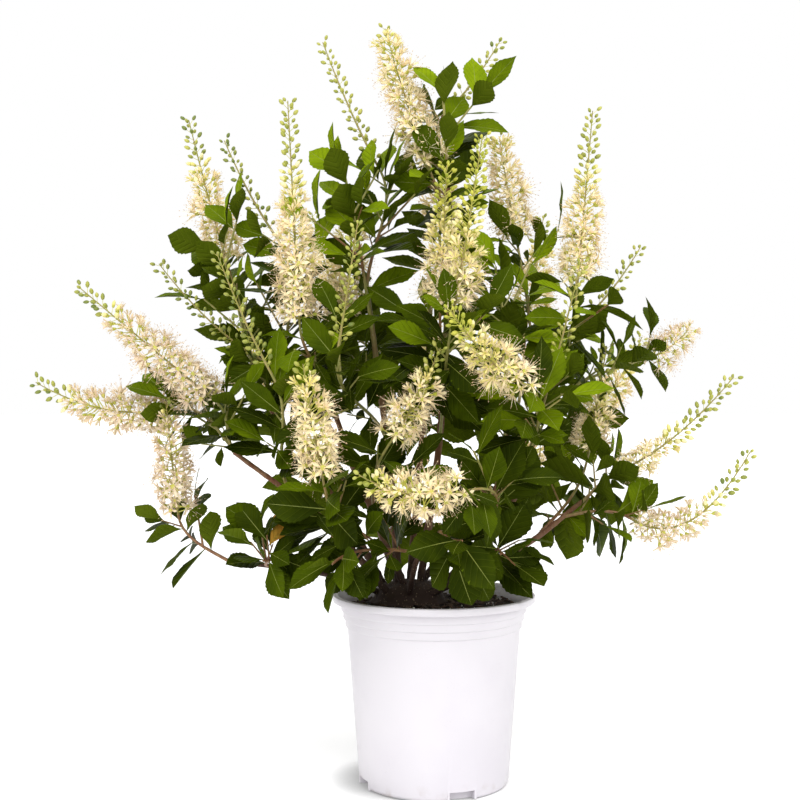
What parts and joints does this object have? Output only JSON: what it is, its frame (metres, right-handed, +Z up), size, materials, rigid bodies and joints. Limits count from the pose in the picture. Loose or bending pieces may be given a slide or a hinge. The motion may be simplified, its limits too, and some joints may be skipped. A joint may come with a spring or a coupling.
{
  "type": "potted summersweet shrub",
  "caption": "Leafy flowering shrub with upright bottlebrush flower spikes, rooted in a round tapered nursery pot with a rolled lip and drain notches.",
  "frame": {"origin": "centre of the pot's flat underside, where it stands on the ground", "axes": "+Z up along the pot's axis, front of the picture towards -Y, +X to the right in the picture"},
  "size_m": [0.7134, 0.5036, 0.7683],
  "materials": {
    "pot_plastic": "satin white moulded plastic",
    "potting_mix": "dark moist bark mix with pale grains",
    "bark": "matt reddish-brown bark, greener towards the tips",
    "foliage": "semi-gloss green leaves with cream-white flowers and yellow-green buds"
  },
  "bodies": {
    "root": {"pot": "pot_plastic", "soil": "potting_mix", "crown": "bark", "stem_centre": "bark", "stem_top": "bark", "stem_upper_left": "bark", "stem_back": "bark", "stem_front": "bark", "stem_right_low": "bark", "stem_right": "bark", "stem_right_high": "bark", "stem_back_right": "bark", "stem_back_left": "bark", "stem_left_high": "bark", "stem_left_low": "bark", "stem_left": "bark", "spray_top": "foliage", "tuft_top": "foliage", "spray_middle_high": "foliage", "buds_middle": "foliage", "buds_high_left": "foliage", "tuft_high_left": "foliage", "buds_middle_left": "foliage", "spray_behind_left": "foliage", "spray_upper_left": "foliage", "spray_middle": "foliage", "spray_left_far": "foliage", "spray_left": "foliage", "buds_left": "foliage", "spray_front_left": "foliage", "spray_left_low": "foliage", "leaves_left_low": "foliage", "spray_left_high": "foliage", "buds_left_high": "foliage", "buds_left_far": "foliage", "buds_front_right": "foliage", "spray_front_right": "foliage", "spray_front": "foliage", "spray_right_high": "foliage", "spray_behind_right": "foliage", "buds_right_high": "foliage", "spray_right_far": "foliage", "spray_right_middle": "foliage", "spray_right": "foliage", "spray_right_low": "foliage", "leaves_rim_right": "foliage", "leaves_rim_front": "foliage", "leaves_rim_left": "foliage", "tuft_top_left": "foliage", "tuft_middle_right": "foliage", "leaves_left_high": "foliage", "spray_back_top": "foliage", "spray_back_middle": "foliage", "spray_back_high_left": "foliage", "spray_back_left": "foliage", "spray_back_low_left": "foliage", "leaves_rim_back": "foliage", "spray_back_high_right": "foliage", "spray_back_right": "foliage", "spray_back_low_right": "foliage"}
  },
  "joints": []
}
